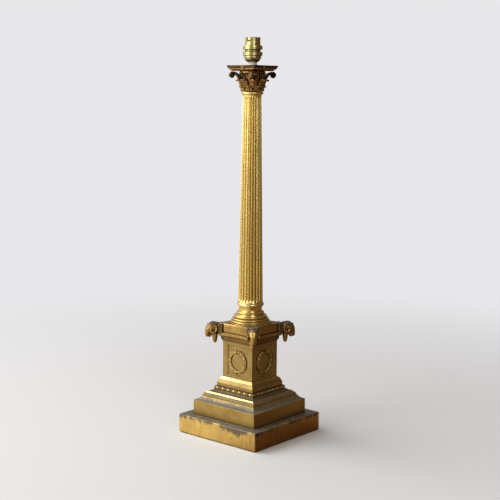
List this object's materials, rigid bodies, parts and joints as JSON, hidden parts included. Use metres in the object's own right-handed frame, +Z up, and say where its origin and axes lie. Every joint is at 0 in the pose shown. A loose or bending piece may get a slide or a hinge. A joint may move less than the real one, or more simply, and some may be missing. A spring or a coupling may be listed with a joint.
{
  "type": "column table lamp",
  "caption": "Brass table lamp as a fluted column with a leafy capital on a square pedestal with ram's heads, wreath panels and stepped plinth; bayonet lampholder on top.",
  "frame": {"origin": "on the table, under the middle of the square plinth", "axes": "+Z up along the column; -Y is the front and the flex leaves at the rear, +Y"},
  "size_m": [0.179, 0.1815, 0.6975],
  "materials": {
    "baize": "green baize, matt",
    "plinth_brass": "aged brass, satin, brown in the hollows",
    "brass_casting": "aged brass casting, satin, brown in the hollows",
    "gilt_ornament": "aged brass casting with rubbed high spots",
    "column_brass": "polished brass, lightly tarnished",
    "capital_brass": "dark patinated brass with rubbed edges",
    "lacquered_brass": "bright lacquered brass",
    "contact_brass": "plain turned brass",
    "holder_insulator": "black moulded insulator",
    "white_nylon": "white nylon, slightly yellowed",
    "steel_plate": "zinc plated steel",
    "steel_rod": "zinc plated steel",
    "steel_fasteners": "zinc plated steel",
    "iron_ballast": "rough cast iron",
    "spring_steel": "bright spring wire",
    "black_rubber": "black rubber"
  },
  "bodies": {
    "lamp": {"baize_pad": "baize", "lower_plinth": "plinth_brass", "base_plate": "steel_plate", "base_plate_screws": "steel_fasteners", "ballast_block": "iron_ballast", "tie_rod": "steel_rod", "tie_rod_nut": "steel_fasteners", "tie_rod_washer": "steel_fasteners", "flex_grommet": "black_rubber", "upper_plinth": "plinth_brass", "plinth_moulding": "plinth_brass", "egg_strip": "brass_casting", "pedestal_foot": "brass_casting", "pedestal_die": "brass_casting", "wreath_right": "gilt_ornament", "wreath_rear": "gilt_ornament", "wreath_left": "gilt_ornament", "wreath_front": "gilt_ornament", "cornice": "brass_casting", "ram_head_front_right": "gilt_ornament", "ram_head_rear_right": "gilt_ornament", "ram_head_rear_left": "gilt_ornament", "ram_head_front_left": "gilt_ornament", "ram_head_bolts": "steel_fasteners", "column_base": "column_brass", "fluted_shaft": "column_brass", "capital_bell": "capital_brass", "lower_leaves": "capital_brass", "upper_leaves": "capital_brass", "volutes": "capital_brass", "abacus": "capital_brass", "abacus_flowers": "capital_brass", "spacer_collar": "white_nylon", "holder_cap": "lacquered_brass", "grub_screw": "steel_fasteners", "holder_barrel": "lacquered_brass", "contact_block": "holder_insulator", "terminal_screws": "contact_brass", "contact_sleeves": "contact_brass"},
    "plunger_right": {"contact_plunger_right": "contact_brass", "contact_spring_right": "spring_steel"},
    "plunger_left": {"contact_plunger_left": "contact_brass", "contact_spring_left": "spring_steel"},
    "lower_ring": {"lower_shade_ring": "lacquered_brass"},
    "upper_ring": {"upper_shade_ring": "lacquered_brass"}
  },
  "joints": [
    {"name": "plunger_right_slide", "type": "slide", "parent": "lamp", "child": "plunger_right", "axis": [0, 0, -1], "range_m": [0, 0.0033], "stiffness_N_per_m": 1500, "springref_m": -0.002, "deforming": ["contact_spring_right"]},
    {"name": "plunger_left_slide", "type": "slide", "parent": "lamp", "child": "plunger_left", "axis": [0, 0, -1], "range_m": [0, 0.0033], "stiffness_N_per_m": 1500, "springref_m": -0.002, "deforming": ["contact_spring_left"]},
    {"name": "lower_ring_travel", "type": "slide", "parent": "lamp", "child": "lower_ring", "axis": [0, 0, 1], "range_m": [0, 0.002]},
    {"name": "upper_ring_travel", "type": "slide", "parent": "lamp", "child": "upper_ring", "axis": [0, 0, 1], "range_m": [-0.002, 0.0208]}
  ]
}
